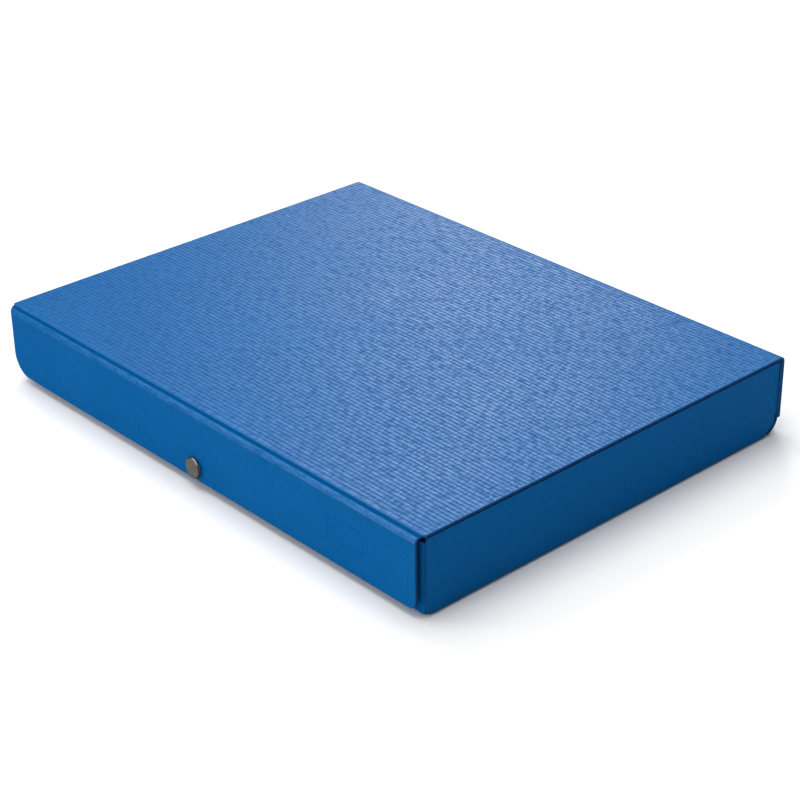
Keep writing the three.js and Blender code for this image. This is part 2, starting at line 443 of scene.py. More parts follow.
# A closed sheet of board. `across` and `along` are the stops of its outer face, `limits` gives its two
# side edges at each stop along, `corners` the radii at start low, start high, end high and end low,
# `joined` the sides that carry on into a neighbour and so are left square, `pressed` the depth of
# anything stamped into it, and `ribbed` the share of the ribs' depth that it keeps.
def boardSheet(name, place, blank, across, along, limits=None, corners=(0, 0, 0, 0), joined=(),
               pressed=None, ribbed=1.0):
    start, end = along[0], along[-1]
    reach = min(board["trimReach"], board["trimShare"] * (across[-1] - across[0]))
    nearLow = np.clip(1 - (across - across[0]) / reach, 0, 1)
    nearHigh = np.clip(1 - (across[-1] - across) / reach, 0, 1)
    shareAlong = (along - start) / (end - start)
    rounding = board["edgeRounding"]

    def outline(inset):
        room = {side: 0 if side in joined else inset for side in ("start", "end", "low", "high")}
        t = start + room["start"] + shareAlong * (end - start - room["start"] - room["end"])
        low, high = limits(t) if limits else (np.full_like(t, across[0]), np.full_like(t, across[-1]))
        fromStart, fromEnd = t - start - room["start"], end - room["end"] - t
        startLow, startHigh, endHigh, endLow = (max(radius - inset, 0) for radius in corners)
        low = low + room["low"] + roundedBy(fromStart, startLow) + roundedBy(fromEnd, endLow)
        high = high - room["high"] - roundedBy(fromStart, startHigh) - roundedBy(fromEnd, endHigh)
        s = across + np.outer(low - across[0], nearLow) + np.outer(high - across[-1], nearHigh)
        return s, np.repeat(t[:, None], len(across), axis=1)

    columns, rows = len(across), len(along)
    index = np.arange(rows * columns).reshape(rows, columns)
    loop = np.concatenate([index[0], index[1:, -1], index[-1, -2::-1], index[-2:0:-1, 0]])

    # The outer face, and the rim in rings rounded at both faces
    s, t = (part.ravel() for part in outline(rounding))
    spots = [(s, t, np.zeros_like(s))]
    for turn in (rightAngle / 2, rightAngle):
        inset, depth = rounding * (1 - math.sin(turn)), rounding * (1 - math.cos(turn))
        ringS, ringT = (part.ravel()[loop] for part in outline(inset))
        spots.append((ringS, ringT, np.full(len(loop), depth)))
    for ringS, ringT, depth in reversed(spots[1:]):
        spots.append((ringS, ringT, thickness - depth))
    spots.append((s[loop], t[loop], np.full(len(loop), thickness)))

    # The inner face is plain, so it keeps only some of the rows and columns
    facing = place(s, t, 0.0) - place(s, t, thickness)
    facing = facing.reshape(rows, columns, 3)[:, 0] / thickness
    keptRows = [0]
    for row in range(1, rows):
        last = keptRows[-1]
        turned = math.degrees(math.acos(min(1.0, float(facing[row] @ facing[last]))))
        if row == rows - 1 or row - last >= board["insideStep"] or turned > board["insideTurn"]:
            keptRows.append(row)
    keptColumns = sorted({*range(0, columns - 1, board["insideStep"]), columns - 1})
    ringStart = sum(len(spot[0]) for spot in spots[:-1])
    middle = [index[row, column] for row in keptRows[1:-1] for column in keptColumns[1:-1]]
    inner = {int(at): ringStart + number for number, at in enumerate([*loop, *middle])}
    if middle:
        spots.append((s[middle], t[middle], np.full(len(middle), thickness)))

    allS, allT, under = (np.concatenate([spot[part] for spot in spots]) for part in range(3))
    u, v = blank(allS, allT)
    sunk = scoredDepth(v) + (pressed(u, v) if pressed else 0)
    points = place(allS, allT, under + sunk * (1 - under / thickness))

    # Outer face, then the rim in rings down to the inner face, then the inner face
    squares = [index[:-1, :-1], index[:-1, 1:], index[1:, 1:], index[1:, :-1]]
    faces = np.stack(squares, -1).reshape(-1, 4).tolist()
    zones = [zoneNames.index("Outside")] * len(faces)
    rings = [loop]
    first = rows * columns
    while first <= ringStart:
        rings.append(np.arange(first, first + len(loop)))
        first += len(loop)
    for upper, lower in zip(rings, rings[1:]):
        quads = np.stack([upper, lower, np.roll(lower, -1), np.roll(upper, -1)], -1)
        faces += quads.tolist()
        zones += [zoneNames.index("Cut edge")] * len(quads)
    for low, high in zip(keptRows, keptRows[1:]):
        for left, right in zip(keptColumns, keptColumns[1:]):
            bottom = range(left, right + 1) if low == 0 else (left, right)
            side = range(low + 1, high) if right == columns - 1 else ()
            top = range(right, left - 1, -1) if high == rows - 1 else (right, left)
            back = range(high - 1, low, -1) if left == 0 else ()
            rim = [index[low, at] for at in bottom] + [index[at, columns - 1] for at in side]
            rim += [index[high, at] for at in top] + [index[at, 0] for at in back]
            faces.append([inner[int(at)] for at in reversed(rim)])
            zones.append(zoneNames.index("Inside"))

    # Turn every face round where the sweep runs against the outside
    middleRow, middleColumn = rows // 2, columns // 2
    corner = points[index[middleRow, middleColumn]]
    edgeAcross = points[index[middleRow, middleColumn - 1]] - corner
    edgeAlong = points[index[middleRow - 1, middleColumn]] - corner
    if np.cross(edgeAcross, edgeAlong) @ facing[middleRow] < 0:
        faces = [face[::-1] for face in faces]

    mesh = bpy.data.meshes.new(name)
    mesh.from_pydata(points.tolist(), [], faces)
    mesh.polygons.foreach_set("use_smooth", [True] * len(faces))
    onOuter = np.zeros(len(points))
    onOuter[: rows * columns] = 1
    fromSide = np.minimum(allS - allS.min(), allS.max() - allS)
    fadeAcross = np.clip(fromSide / board["ribFade"] - board["plainEdge"], 0, 1)
    share = ribShare(v) * onOuter * fadeAcross * ribbed
    share[loop] = 0
    addAttribute(mesh, "blank", "FLOAT_VECTOR", "POINT", np.stack([u, v, np.zeros_like(u)], -1))
    addAttribute(mesh, "ribShare", "FLOAT", "POINT", share)
    addAttribute(mesh, "zone", "INT", "FACE", np.array(zones))
    return addObject(name, mesh)


def addAttribute(mesh, name, kind, domain, values):
    attribute = mesh.attributes.new(name, kind, domain)
    slot = "vector" if kind == "FLOAT_VECTOR" else "value"
    attribute.data.foreach_set(slot, np.asarray(values).ravel())


# Geometry Nodes that press the ribs into the outer face, and give each zone its finish
def embossTree():
    tree = bpy.data.node_groups.new("emboss", "GeometryNodeTree")

    def addSocket(label, kind, way="INPUT"):
        tree.interface.new_socket(label, in_out=way, socket_type="NodeSocket" + kind)

    addSocket("Geometry", "Geometry")
    for label in ("Rib pitch", "Rib depth", "Groove sharpness", "Break length", "Break amount"):
        addSocket(label, "Float")
    addSocket("Seed", "Int")
    for label in zoneNames:
        addSocket(label, "Material")
    addSocket("Geometry", "Geometry", "OUTPUT")
    given = put(tree, "NodeGroupInput").outputs

    def stored(name, kind):
        return put(tree, "GeometryNodeInputNamedAttribute", {"Name": name}, data_type=kind).outputs[0]

    u, v, _ = put(tree, "ShaderNodeSeparateXYZ", {0: stored("blank", "FLOAT_VECTOR")}).outputs
    ribPlace = maths(tree, "DIVIDE", v, given["Rib pitch"])
    wave = maths(tree, "COSINE", maths(tree, "MULTIPLY", ribPlace, fullTurn))
    valley = maths(tree, "MULTIPLY_ADD", wave, -0.5, 0.5)
    crest = maths(tree, "SUBTRACT", 1.0, maths(tree, "POWER", valley, given["Groove sharpness"]))
    ribNumber = maths(tree, "FLOOR", maths(tree, "ADD", ribPlace, 0.5))
    spacing = 3.7  # far enough apart in the noise for each rib to break in its own places
    along = maths(tree, "DIVIDE", u, given["Break length"])
    apart = maths(tree, "MULTIPLY", ribNumber, spacing)
    seeded = put(tree, "ShaderNodeCombineXYZ", {0: along, 1: apart, 2: given["Seed"]}).outputs[0]
    noise = put(tree, "ShaderNodeTexNoise", {"Vector": seeded, "Scale": 1.0, "Detail": 2.0}).outputs[0]
    breakFrom, breakTo = 0.42, 0.68  # how strong the noise is where a rib starts to break, and is broken
    broken = mapped(tree, noise, breakFrom, breakTo)
    kept = maths(tree, "SUBTRACT", 1.0, maths(tree, "MULTIPLY", broken, given["Break amount"]))
    ridge = maths(tree, "MULTIPLY", crest, kept)
    share = stored("ribShare", "FLOAT")
    groove = maths(tree, "MULTIPLY", maths(tree, "SUBTRACT", ridge, 1.0), given["Rib depth"])
    outward = put(tree, "GeometryNodeInputNormal").outputs[0]
    inward = maths(tree, "MULTIPLY", groove, share)
    offset = scaled(tree, outward, inward)
    pressed = put(tree, "GeometryNodeSetPosition", {"Geometry": given["Geometry"], "Offset": offset})
    level = varyBy(tree, ridge, share, plainLevel, plainLevel)
    marked = put(tree, "GeometryNodeStoreNamedAttribute", {
        "Geometry": pressed.outputs[0],
        "Name": "ridge",
        "Value": level,
    }, data_type="FLOAT", domain="POINT")
    shape = put(tree, "GeometryNodeRealizeInstances", {0: marked.outputs[0]}).outputs[0]
    zone = stored("zone", "INT")
    for number, label in enumerate(zoneNames):
        chosen = put(tree, "FunctionNodeCompare", {2: zone, 3: number}, data_type="INT", operation="EQUAL")
        shape = put(tree, "GeometryNodeSetMaterial", {
            "Geometry": shape,
            "Selection": chosen.outputs[0],
            "Material": given[label],
        }).outputs[0]
    put(tree, "NodeGroupOutput", {0: shape})
    return tree


def evaluatedMesh(piece):
    bpy.context.view_layer.update()
    depsgraph = bpy.context.evaluated_depsgraph_get()
    source = piece.evaluated_get(depsgraph)
    mesh = bpy.data.meshes.new_from_object(source, preserve_all_data_layers=True, depsgraph=depsgraph)
    mesh.set_sharp_from_angle(angle=math.radians(board["sharpAngle"]))
    piece.modifiers.clear()
    piece.data = mesh
    mesh.name = piece.name


def emboss(piece, finishes):
    modifier = piece.modifiers.new("emboss", "NODES")
    modifier.node_group = pressing
    chosen = {**ribs, **finishes}
    for item in pressing.interface.items_tree:
        if item.in_out == "INPUT" and item.name in chosen:
            modifier[item.identifier] = chosen[item.name]
    evaluatedMesh(piece)


pressing = embossTree()


def newFinish(name):
    material = bpy.data.materials.new(name)
    tree = clearTree(material)
    shader = put(tree, "ShaderNodeBsdfPrincipled")
    put(tree, "ShaderNodeOutputMaterial", {0: shader.outputs[0]})
    return material, tree, shader


# Links what varies over a surface to its shader, with a bump of the given depth
def feed(tree, shader, sources, height, depth):
    for key, source in sources.items():
        tree.links.new(source, shader.inputs[key])
    bump = put(tree, "ShaderNodeBump", {"Height": height, "Strength": 1.0, "Distance": depth})
    tree.links.new(bump.outputs[0], shader.inputs["Normal"])


# Noise laid over a surface. A grain is its scale each way, its detail and its roughness.
def noiseOf(tree, vector, grain):
    scale, detail, roughness = grain
    placed = put(tree, "ShaderNodeMapping", {"Vector": vector, "Scale": scale}).outputs[0]
    inputs = {"Vector": placed, "Scale": 1.0, "Detail": detail, "Roughness": roughness}
    return put(tree, "ShaderNodeTexNoise", inputs).outputs[0]


# Thin line between two points of the blank: 1 on the line, 0 beyond its width
def scratchMask(tree, spot, start, end, width):
    along = Vector(end) - Vector(start)
    away = vectorMaths(tree, "SUBTRACT", spot, start).outputs[0]
    reach = vectorMaths(tree, "DOT_PRODUCT", away, tuple(along / along.length_squared)).outputs["Value"]
    held = put(tree, "ShaderNodeClamp", {0: reach}).outputs[0]
    gap = vectorMaths(tree, "DISTANCE", away, scaled(tree, tuple(along), held)).outputs["Value"]
    return mapped(tree, gap, 0.0, width, 1.0, 0.0)


# Where four numbers stand for a range, a pattern between the first two gives the last two
outsideLook = {
    "ridgeColour": (0.0, 0.121, 0.37, 1),
    # darker partly as ink in the grooves and partly as painted shade in the recesses
    "grooveShadeColour": (0.0, 0.07, 0.235, 1),
    "fadedColour": (0.002, 0.128, 0.38, 1),
    "scratchColour": (0.16, 0.28, 0.52, 1),
    "speckColour": (0.0, 0.02, 0.07, 1),
    "dashes": ((130, 760, 1), 3.0, 0.6),  # short flecks along the ribs
    "weave": ((720, 230, 1), 2.0, 0.5),  # fine threads across them
    "fibres": ((900, 1500, 1), 3.0, 0.65),
    "clouds": ((14, 14, 1), 3.0, 0.55),
    "grainColour": (1.3, 0.9, 0.7),  # how much dashes, weave and fibres change the colour
    "grainRelief": (0.9, 1.3, 0.6),  # and the height
    "grainHeight": 0.042 * mm,
    "colourRange": (0.15, 0.95),  # level that is all groove colour with its painted shade, and level that is all ridge colour
    "faded": (0.5, 0.75, 0.0, 0.35),
    "worn": (0.36, 0.5, 0.0, 0.35),
    "specular": 0.085,
    "weaveGloss": (0.34, 0.66, 0.55, 1.5),
    "sideGloss": 0.35,  # share of the gloss that the flap, spine and walls have
    "sideGrain": 0.3,  # and of the colour's grain
    "ridgeRoughness": 0.29,
    "grooveRoughness": 0.5,
    "cloudRoughness": 0.1,
    "mattShadedBand": (0.3 * mm, 2.0 * mm),  # groove pressed in the flap's fold, from the fold's start
    # darker colour painted into that groove as shade
    "creaseShadeColour": (0.0, 0.066, 0.21, 1),
    "mattGloss": 0.05,
    "bead": (2.1 * mm, 4.9 * mm),  # the fold's rounded edge, with a blotchy painted highlight, mostly on the right
    "beadHighlightColour": (0.055, 0.19, 0.46, 1),
    "beadHighlightRange": (0.75, 1.15, 0.1, 0.85),
    "beadHighlightLeft": 0.15,  # share of the painted highlight left at the far left
    "beadGloss": (0.8, 1.2, 0.25, 1.9),
    "bandFade": 0.4 * mm,
    "speckSize": 0.35 * mm,
    "specksPerMetre": 34.0,
    "speckShare": 0.3,
    "scratchLeast": 0.15,
    "scratches": (  # start and end in X and Y on the lid, then the width
        ((13.5 * mm, -52 * mm), (60 * mm, 14.5 * mm), 0.22 * mm),
        ((145 * mm, -96 * mm), (145 * mm, -86 * mm), 0.28 * mm),
    ),
}


# A place on the lid as it lies in the blank
def onLid(x, y):
    return x, lidRun["from"] + spineHigh.y - lidFold - y, 0


# A band along the blank: 1 between two distances past the start of the flap's fold, 0 beyond them
def creaseBand(tree, v, ends, fade):
    low, high = (flapBend["from"] + end for end in ends)
    rise = mapped(tree, v, low - fade / 2, low + fade / 2)
    fall = mapped(tree, v, high - fade / 2, high + fade / 2, 1.0, 0.0)
    return maths(tree, "MULTIPLY", rise, fall)


def outsideFinish(look):
    material, tree, shader = newFinish("ribbed board")
    spot = put(tree, "ShaderNodeAttribute", attribute_name="blank").outputs["Vector"]
    ridge = put(tree, "ShaderNodeAttribute", attribute_name="ridge").outputs["Fac"]
    u, v, _ = put(tree, "ShaderNodeSeparateXYZ", {0: spot}).outputs
    dashes, weave, fibres, clouds = (
        noiseOf(tree, spot, look[grain]) for grain in ("dashes", "weave", "fibres", "clouds")
    )

    # Bands along the blank: the lid with its two folds, the groove painted with shade, and the bead beside
    # it painted with a highlight
    top = (lidBend["to"] - flapBend["from"], look["bead"][1])
    onTop, mattShaded, bead = (
        creaseBand(tree, v, ends, look["bandFade"]) for ends in (top, look["mattShadedBand"], look["bead"])
    )
    varied = mapped(tree, onTop, 0.0, 1.0, look["sideGrain"], 1.0)
    blotches = maths(tree, "ADD", dashes, fibres)

    mixed = ridge
    for grain, amount in zip((dashes, weave, fibres), look["grainColour"]):
        mixed = varyBy(tree, grain, amount, mixed)
    mixed = varyBy(tree, mixed, varied, plainLevel, plainLevel)
    lifted = mapped(tree, mixed, *look["colourRange"])
    # the grooves' colour carries painted shade in the recesses
    colour = blendColour(tree, lifted, look["grooveShadeColour"], look["ridgeColour"])
    colour = blendColour(tree, mapped(tree, clouds, *look["faded"]), colour, look["fadedColour"])
    worn = mapped(tree, maths(tree, "MULTIPLY", dashes, fibres), *look["worn"])
    colour = blendColour(tree, worn, colour, look["fadedColour"])
    # painted shade along the pressed groove beside the flap's fold
    colour = blendColour(tree, mattShaded, colour, look["creaseShadeColour"])
    # painted highlight on the bead, blotchy and stronger towards the right
    rightwards = mapped(tree, u, lidLow.x, lidHigh.x, look["beadHighlightLeft"], 1.0)
    beadHighlight = maths(tree, "MULTIPLY", mapped(tree, blotches, *look["beadHighlightRange"]), rightwards)
    colour = blendColour(tree, maths(tree, "MULTIPLY", beadHighlight, bead), colour, look["beadHighlightColour"])

    # Specks are points of a few of the cells
    cells = put(tree, "ShaderNodeTexVoronoi", {"Vector": spot, "Scale": look["specksPerMetre"]})
    reach = look["speckSize"] * look["specksPerMetre"]
    near = mapped(tree, cells.outputs["Distance"], 0.0, reach, 1.0, 0.0)
    chance = put(tree, "ShaderNodeSeparateColor", {0: cells.outputs["Color"]}).outputs[0]
    specks = maths(tree, "MULTIPLY", near, maths(tree, "LESS_THAN", chance, look["speckShare"]))
    colour = blendColour(tree, specks, colour, look["speckColour"])
    for start, end, width in look["scratches"]:
        line = scratchMask(tree, spot, onLid(*start), onLid(*end), width)
        rough = maths(tree, "ADD", fibres, look["scratchLeast"])
        share = maths(tree, "MULTIPLY", line, rough, clamp=True)
        colour = blendColour(tree, share, colour, look["scratchColour"])

    roughness = mapped(tree, lifted, 0.0, 1.0, look["grooveRoughness"], look["ridgeRoughness"])
    roughness = maths(tree, "MULTIPLY_ADD", clouds, look["cloudRoughness"], roughness)
    gloss = varyBy(tree, mapped(tree, blotches, *look["beadGloss"]), bead, 1.0, 1.0)
    for share in (
        mapped(tree, mattShaded, 0.0, 1.0, 1.0, look["mattGloss"]),
        mapped(tree, onTop, 0.0, 1.0, look["sideGloss"], 1.0),
        mapped(tree, weave, *look["weaveGloss"]),
        look["specular"],
    ):
        gloss = maths(tree, "MULTIPLY", gloss, share)
    shader.inputs["Specular IOR Level"].default_value = look["specular"]  # also as the plain value, for a copy of the material that drops the link
    dashRelief, weaveRelief, fibreRelief = look["grainRelief"]
    height = maths(tree, "MULTIPLY", weave, maths(tree, "MULTIPLY", varied, weaveRelief))
    height = maths(tree, "MULTIPLY_ADD", fibres, fibreRelief, height)
    height = maths(tree, "MULTIPLY_ADD", dashes, dashRelief, height)
    sources = {"Base Color": colour, "Roughness": roughness, "Specular IOR Level": gloss}
    feed(tree, shader, sources, height, look["grainHeight"])
    return material


edgeLook = {
    "darkLayer": (0.0, 0.04, 0.135, 1),
    "lightLayer": (0.0, 0.075, 0.23, 1),
    "layers": ((3200, 3200, 3200), 4.0, 0.6),
    "chips": ((600, 600, 600), 3.0, 0.6),
    "colourRange": (0.75, 1.25),
    "roughness": (0.2, 0.8, 0.75, 0.85),
    "specular": 0.2,
    "layerHeight": 0.05 * mm,
}


def edgeFinish(look):
    material, tree, shader = newFinish("cut board edge")
    spot = put(tree, "ShaderNodeTexCoord").outputs["Object"]
    layers = noiseOf(tree, spot, look["layers"])
    chips = noiseOf(tree, spot, look["chips"])
    share = mapped(tree, maths(tree, "ADD", layers, chips), *look["colourRange"])
    colour = blendColour(tree, share, look["darkLayer"], look["lightLayer"])
    shader.inputs["Specular IOR Level"].default_value = look["specular"]
    sources = {"Base Color": colour, "Roughness": mapped(tree, chips, *look["roughness"])}
    feed(tree, shader, sources, layers, look["layerHeight"])
    return material


insideLook = {
    "colour": (0.006, 0.125, 0.36, 1),
    "fibreColour": (0.02, 0.18, 0.45, 1),
    "fibres": ((700, 1400, 1), 4.0, 0.65),
    "clouds": ((25, 25, 1), 3.0, 0.55),
    "cloudColour": 0.6,
    "colourRange": (0.55, 1.15),
    "roughness": 0.61,
    "cloudRoughness": 0.15,
    "specular": 0.3,
    "grainHeight": 0.03 * mm,
}


def insideFinish(look):
    material, tree, shader = newFinish("plain board inside")
    spot = put(tree, "ShaderNodeAttribute", attribute_name="blank").outputs["Vector"]
    fibres = noiseOf(tree, spot, look["fibres"])
    clouds = noiseOf(tree, spot, look["clouds"])
    mixed = maths(tree, "MULTIPLY_ADD", clouds, look["cloudColour"], fibres)
    colour = mapped(tree, mixed, *look["colourRange"])
    colour = blendColour(tree, colour, look["colour"], look["fibreColour"])
    roughness = maths(tree, "MULTIPLY_ADD", clouds, look["cloudRoughness"], look["roughness"])
    shader.inputs["Specular IOR Level"].default_value = look["specular"]
    feed(tree, shader, {"Base Color": colour, "Roughness": roughness}, fibres, look["grainHeight"])
    return material


metalLook = {
    "patches": ((420, 420, 420), 4.0, 0.6),
    "grain": ((900, 900, 5200), 3.0, 0.6),
    "grainColour": 0.5,
    "colourRange": (0.45, 1.05),
    "patchRange": (0.3, 0.7),
    "roughnessGain": 0.14,
    "grainHeight": 0.004 * mm,
}
metals = {  # light colour, dark colour, least roughness, and how metallic it is
    "dark satin cap": ((0.41, 0.38, 0.32, 1), (0.31, 0.285, 0.235, 1), 0.15, 0.6),
    "burnished cap rim": ((0.46, 0.41, 0.34, 1), (0.28, 0.25, 0.20, 1), 0.06, 0.92),
    "nickel plate": ((0.62, 0.60, 0.55, 1), (0.45, 0.43, 0.39, 1), 0.24, 1.0),
    "spring wire": ((0.58, 0.58, 0.57, 1), (0.42, 0.42, 0.41, 1), 0.2, 1.0),
}


def metalFinish(name, look, light, dark, smooth, bare):
    material, tree, shader = newFinish(name)
    spot = put(tree, "ShaderNodeTexCoord").outputs["Object"]
    patches = noiseOf(tree, spot, look["patches"])
    grain = noiseOf(tree, spot, look["grain"])
    mixed = maths(tree, "MULTIPLY_ADD", grain, look["grainColour"], patches)
    colour = blendColour(tree, mapped(tree, mixed, *look["colourRange"]), dark, light)
    roughness = mapped(tree, patches, *look["patchRange"], smooth, smooth + look["roughnessGain"])
    shader.inputs["Metallic"].default_value = bare
    feed(tree, shader, {"Base Color": colour, "Roughness": roughness}, grain, look["grainHeight"])
    return material


boardFinishes = {
    "Outside": outsideFinish(outsideLook),
    "Cut edge": edgeFinish(edgeLook),
    "Inside": insideFinish(insideLook),
}
metalFinishes = {name: metalFinish(name, metalLook, *choices) for name, choices in metals.items()}
print("finishes mixed")


def columnBlank(s, t):
    return s, t


def girthBlank(s, t):
    return leftLow.x + slackFold + t - floorRun["from"], baseRun["from"] + s - wallLow.y - frontFold


# A point beside the stud's axis
def aboutStud(radius, y, angle):
    return radius * math.cos(angle), y, studHeight + radius * math.sin(angle)


hole = {"radius": 2.25 * mm, "sides": 64, "beyond": 1 * mm}  # beyond is how far the punch sticks out


# Cuts the stud's hole through a panel
def punchHole(piece, node, choices):
    panelLow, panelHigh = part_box(node)
    count = choices["sides"]
    ends = (panelLow.y - choices["beyond"], panelHigh.y + choices["beyond"])
    ring = [fullTurn * side / count for side in range(count)]
    points = [aboutStud(choices["radius"], y, angle) for y in ends for angle in ring]
    around = [(side, (side + 1) % count) for side in range(count)]
    faces = [(a, b, b + count, a + count) for a, b in around]
    faces += [tuple(reversed(range(count))), tuple(range(count, 2 * count))]
    mesh = bpy.data.meshes.new("punch")
    mesh.from_pydata(points, [], faces)
    mesh.materials.append(boardFinishes["Cut edge"])
    punch = addObject("punch", mesh)
    cut = piece.modifiers.new("hole", "BOOLEAN")
    cut.object = punch
    cut.solver = "EXACT"
    cut.material_mode = "TRANSFER"
    evaluatedMesh(piece)
    bpy.data.objects.remove(punch)
    bpy.data.meshes.remove(mesh)


# Presses the ribs, and says what the piece replaces and which body it follows. A piece between a pair of
# bodies is only fixed in place, and the pair it is given is not used.
def finishBoard(piece, nodes, body=None, between=None, punched=None):
    emboss(piece, boardFinishes)
    if punched:
        punchHole(piece, punched, hole)
    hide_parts(*nodes)
    if between:
        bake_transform(piece)
    else:
        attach(piece, body)


def acrossStops(low, high, step=board["stepAlongRibs"]):
    stops = evenStops(low, high, step)
    return np.unique(np.concatenate([stops, [low + board["endStop"], high - board["endStop"]]]))


# A sheet of the column, from side to side of the blank
def columnSheet(name, across, along, **more):
    return boardSheet(name, sweep(column, "X"), columnBlank, across, along, **more)


lid = {"frontCorner": 1.5 * mm, "ribs": 1.0}  # ribs is the share of their depth that a part keeps


def makeLid():
    corner = lid["frontCorner"]
    along = withCornerStops(pathStops([lidRun], ribStep), 0, corner)
    piece = columnSheet("lid", acrossStops(lidLow.x, lidHigh.x), along, corners=(0, 0, corner, corner),
                        joined=("start", "end"), ribbed=lid["ribs"])
    finishBoard(piece, ["lid_panel"], "lid")


flap = {"leftCorner": 12 * mm, "rightCorner": 4.5 * mm, "ribs": 0.3}


def makeFlap():
    middle, half = blankMark["centre"][0], blankMark["size"][0] / 2 + blankMark["margin"]
    across = np.unique(np.concatenate([
        acrossStops(flapLow.x, flapHigh.x),
        evenStops(middle - half, middle + half, blankMark["step"]),
    ]))
    along = withCornerStops(pathStops([flapRun], ribStep), 0, flap["leftCorner"])
    piece = columnSheet("flap", across, along, corners=(0, 0, flap["rightCorner"], flap["leftCorner"]),
                        joined=("start",), pressed=lambda u, v: markDepth(u, v, blankMark),
                        ribbed=flap["ribs"])
    finishBoard(piece, ["flap_panel"], "flap", punched="flap_panel")


spine = {"leftCorner": 8 * mm, "rightCorner": 1 * mm, "ribs": 0.4}


def makeSpine():
    along = withCornerStops(pathStops([spineRun], ribStep), spine["leftCorner"], 0)
    corners = (spine["leftCorner"], spine["rightCorner"], 0, 0)
    piece = columnSheet("spine", acrossStops(spineLow.x, spineHigh.x), along, corners=corners,
                        joined=("start", "end"), ribbed=spine["ribs"])
    finishBoard(piece, ["spine_panel"], "spine")


base = {"stepAlong": 4 * mm, "ribs": 0.5}


def makeBase():
    across = acrossStops(baseLow.x - board["toFold"], baseHigh.x + board["toFold"], base["stepAlong"])
    piece = columnSheet("base", across, pathStops([baseRun], ribStep),
                        joined=("start", "end", "low", "high"), ribbed=base["ribs"])
    finishBoard(piece, ["base_panel"], "tray")


frontWall = {"leftSweep": 7 * mm, "leftRise": 8.75 * mm, "ribs": 0.3}


# The front wall with the fold at its foot. Its left foot is cut back to clear the slack fold.
def makeFrontWall():
    left, right = wallLow.x - board["toFold"], wallHigh.x + board["toFold"]
    sweepIn, rise = frontWall["leftSweep"], frontWall["leftRise"]

    def limits(t):
        reach = np.clip((frontFold + rise - (wallHigh.z - t)) / rise, 0, 1)
        return left + sweepIn * (1 - np.sqrt(1 - reach ** 2)), np.full_like(t, right)

    along = pathStops([wallRun, frontBend], ribStep)
    piece = columnSheet("front_wall_sheet", acrossStops(left, right), along, limits=limits,
                        joined=("end", "high"), ribbed=frontWall["ribs"])
    finishBoard(piece, ["front_wall", "front_base_crease"], "tray", punched="front_wall")


sides = {"backCorner": 6 * mm, "topCorner": 1 * mm, "frontFoot": 5 * mm, "ribs": 0.3}


# A side wall with the fold at its foot, its back foot rounded to clear the spine's fold
def makeSide(label, runs, startAtBase):
    wall, fold = f"{label}_wall", f"{label}_base_crease"
    low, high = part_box(wall)
    front, back = low.y, high.y + board["toFold"]
    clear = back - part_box(fold)[1].y
    corner = sides["backCorner"]
    fullHeight = low.z + (corner if startAtBase else 0)

    def limits(t):
        height = pathPoints(girth, t, 0.0)[:, 1]
        reach = np.clip((fullHeight - height) / corner, 0, 1)
        trim = roundedBy(high.z - height, sides["topCorner"])
        foot = roundedBy(height, sides["frontFoot"]) if startAtBase else 0
        return front + trim + foot, back - clear * (1 - np.sqrt(1 - reach ** 2))

    along = pathStops(runs, board["stepAlongRibs"])
    piece = boardSheet(f"{label}_side", sweep(girth, "Y"), girthBlank, evenStops(front, back, ribStep),
                       along, limits=limits, joined=("start",) if startAtBase else ("end",),
                       ribbed=sides["ribs"])
    finishBoard(piece, [wall, fold], "tray")


tabs = {
    "corner": 5 * mm,
    "rise": 4 * mm,  # how far past the fold the tab reaches its full height
    "foldFloor": 0.9 * mm,  # the front right corner's fold starts this far above the floor
    "backPattern": 0.5,  # metres along the ribs, so that the back tabs break in their own places
    "ribs": 0.3,
}


# An upright corner fold and the tab it ends in
def makeCorner(label, path, foldRun, tabRun, blank, heights, step, stepUp):
    foldLow, foldHigh, tabLow, tabHigh = heights
    foldFirst = foldRun["from"] < tabRun["from"]
    wallEnd = foldRun["from"] if foldFirst else foldRun["to"]

    def limits(t):
        share = eased(np.clip(np.abs(t - wallEnd) / tabs["rise"], 0, 1))
        return foldLow + share * (tabLow - foldLow), foldHigh + share * (tabHigh - foldHigh)

    radius = tabs["corner"]
    along = pathStops([foldRun, tabRun], step)
    along = withCornerStops(along, 0 if foldFirst else radius, radius if foldFirst else 0)
    corners = (0, 0, radius, radius) if foldFirst else (radius, radius, 0, 0)
    across = evenStops(foldLow, foldHigh, stepUp)
    piece = boardSheet(f"{label}_corner", sweep(path, "Z"), blank, across, along, limits=limits,
                       corners=corners, joined=("start",) if foldFirst else ("end",),
                       ribbed=tabs["ribs"])
    finishBoard(piece, [f"{label}_corner_crease", f"{label}_tab"], "tray")


def makeFrontCorners():
    for side, label in ((-1, "front_left"), (1, "front_right")):
        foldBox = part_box(f"{label}_corner_crease")
        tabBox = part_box(f"{label}_tab")
        tabLength = tabBox[1].y - (wallLow.y + uprightFold)
        if side > 0:
            floor, face = tabs["foldFloor"], foldBox[1].x
            lead = face - uprightFold
            path = layPath((lead, wallLow.y), 0.0, [quarter(uprightFold), straight(tabLength)])
            foldRun, tabRun = path
        else:
            floor, face = foldBox[0].z, foldBox[0].x
            path = layPath((face, tabBox[1].y), -rightAngle, [straight(tabLength), quarter(uprightFold)])
            tabRun, foldRun = path
            lead = face + uprightFold - foldRun["to"]
        heights = (floor, foldBox[1].z, tabBox[0].z, tabBox[1].z)
        makeCorner(label, path, foldRun, tabRun, lambda s, t, lead=lead: (lead + t, wallHigh.z - s),
                   heights, board["stepAlongRibs"], ribStep)


